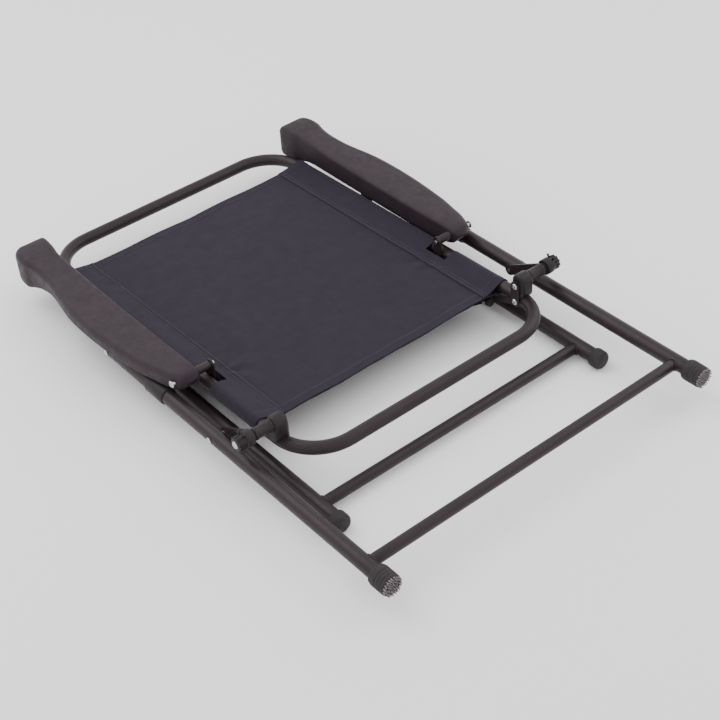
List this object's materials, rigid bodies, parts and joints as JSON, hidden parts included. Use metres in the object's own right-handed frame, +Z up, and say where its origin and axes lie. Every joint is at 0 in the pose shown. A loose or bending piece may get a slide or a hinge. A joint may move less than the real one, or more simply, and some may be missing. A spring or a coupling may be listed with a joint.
{
  "type": "camp rocking chair",
  "caption": "Folding camp chair of steel tube with moulded armrests, cloth back and seat slings and short swing links, lying folded flat.",
  "frame": {"origin": "middle of the folded chair's footprint, on the ground", "axes": "+X across the chair to the sitter's right, +Y from the rear feet to the top of the folded back, +Z up from the ground"},
  "size_m": [0.6736, 1.025, 0.1115],
  "materials": {
    "coated_steel": "satin dark brown-grey powder coat",
    "moulded_plastic": "fine-textured moulded brown-black",
    "rubber": "matt",
    "woven_cloth": "plain-woven slate grey",
    "bright_steel": "zinc plated"
  },
  "bodies": {
    "rear_legs": {"armrest_pin_left": "bright_steel", "armrest_pin_right": "bright_steel", "leg_collar_left": "moulded_plastic", "leg_collar_right": "moulded_plastic", "link_pin_left": "bright_steel", "link_pin_right": "bright_steel", "rear_crossbar": "coated_steel", "rear_foot_left": "rubber", "rear_foot_right": "rubber", "rear_leg_left": "coated_steel", "rear_leg_right": "coated_steel"},
    "armrests": {"armrest_bolt_left": "bright_steel", "armrest_bolt_right": "bright_steel", "armrest_front_bracket_left": "coated_steel", "armrest_front_bracket_right": "coated_steel", "armrest_left": "moulded_plastic", "armrest_rear_bracket_left": "coated_steel", "armrest_rear_bracket_right": "coated_steel", "armrest_right": "moulded_plastic"},
    "back": {"axle_barrel_left": "moulded_plastic", "axle_barrel_right": "moulded_plastic", "axle_sleeve_left": "moulded_plastic", "axle_sleeve_right": "moulded_plastic", "back_ear_left": "coated_steel", "back_ear_right": "coated_steel", "back_hoop_lower": "coated_steel", "back_hoop_upper": "coated_steel", "back_sling": "woven_cloth", "bracket_plate_left": "coated_steel", "bracket_plate_right": "coated_steel", "bracket_rivet_lower_left": "bright_steel", "bracket_rivet_lower_right": "bright_steel", "bracket_rivet_upper_left": "bright_steel", "bracket_rivet_upper_right": "bright_steel", "stub_axle_left": "bright_steel", "stub_axle_right": "bright_steel"},
    "seat": {"seat_front_bar": "coated_steel", "seat_rail_left": "coated_steel", "seat_rail_right": "coated_steel", "seat_rear_pin_left": "bright_steel", "seat_rear_pin_right": "bright_steel", "seat_sling": "woven_cloth"},
    "front_legs": {"front_crossbar": "coated_steel", "front_foot_left": "rubber", "front_foot_right": "rubber", "front_leg_cap_left": "rubber", "front_leg_cap_right": "rubber", "front_leg_left": "coated_steel", "front_leg_pin_left": "bright_steel", "front_leg_pin_right": "bright_steel", "front_leg_right": "coated_steel", "seat_front_pin_left": "bright_steel", "seat_front_pin_right": "bright_steel"},
    "swing_links": {"hub_rivet_left": "bright_steel", "hub_rivet_right": "bright_steel", "link_hub_left": "moulded_plastic", "link_hub_right": "moulded_plastic", "swing_link_left": "coated_steel", "swing_link_right": "coated_steel"}
  },
  "joints": [
    {"name": "fold", "type": "hinge", "parent": "rear_legs", "child": "armrests", "pos_m": [0, 0.1865, 0.054], "axis": [-1, 0, 0], "range_deg": [0, 57]},
    {"name": "back_unfold", "type": "hinge", "parent": "armrests", "child": "back", "pos_m": [0, 0.0115, 0.085], "axis": [1, 0, 0], "range_deg": [-1, 89.1]},
    {"name": "seat_unfold", "type": "hinge", "parent": "back", "child": "seat", "pos_m": [0, -0.1255, 0.039], "axis": [-1, 0, 0], "range_deg": [-1, 89.1]},
    {"name": "front_legs_unfold", "type": "hinge", "parent": "armrests", "child": "front_legs", "pos_m": [0, 0.2597, 0.016], "axis": [1, 0, 0], "range_deg": [-1, 126.2]},
    {"name": "link_swing", "type": "hinge", "parent": "rear_legs", "child": "swing_links", "pos_m": [0, -0.1035, 0.054], "axis": [-1, 0, 0], "range_deg": [-1, 94.5]}
  ],
  "couplings": [
    {"joint": "back_unfold", "follows": "fold", "ratio": 1.5456},
    {"joint": "seat_unfold", "follows": "fold", "ratio": 1.5456},
    {"joint": "front_legs_unfold", "follows": "fold", "ratio": 2.1965},
    {"joint": "link_swing", "follows": "fold", "ratio": 1.6404}
  ]
}
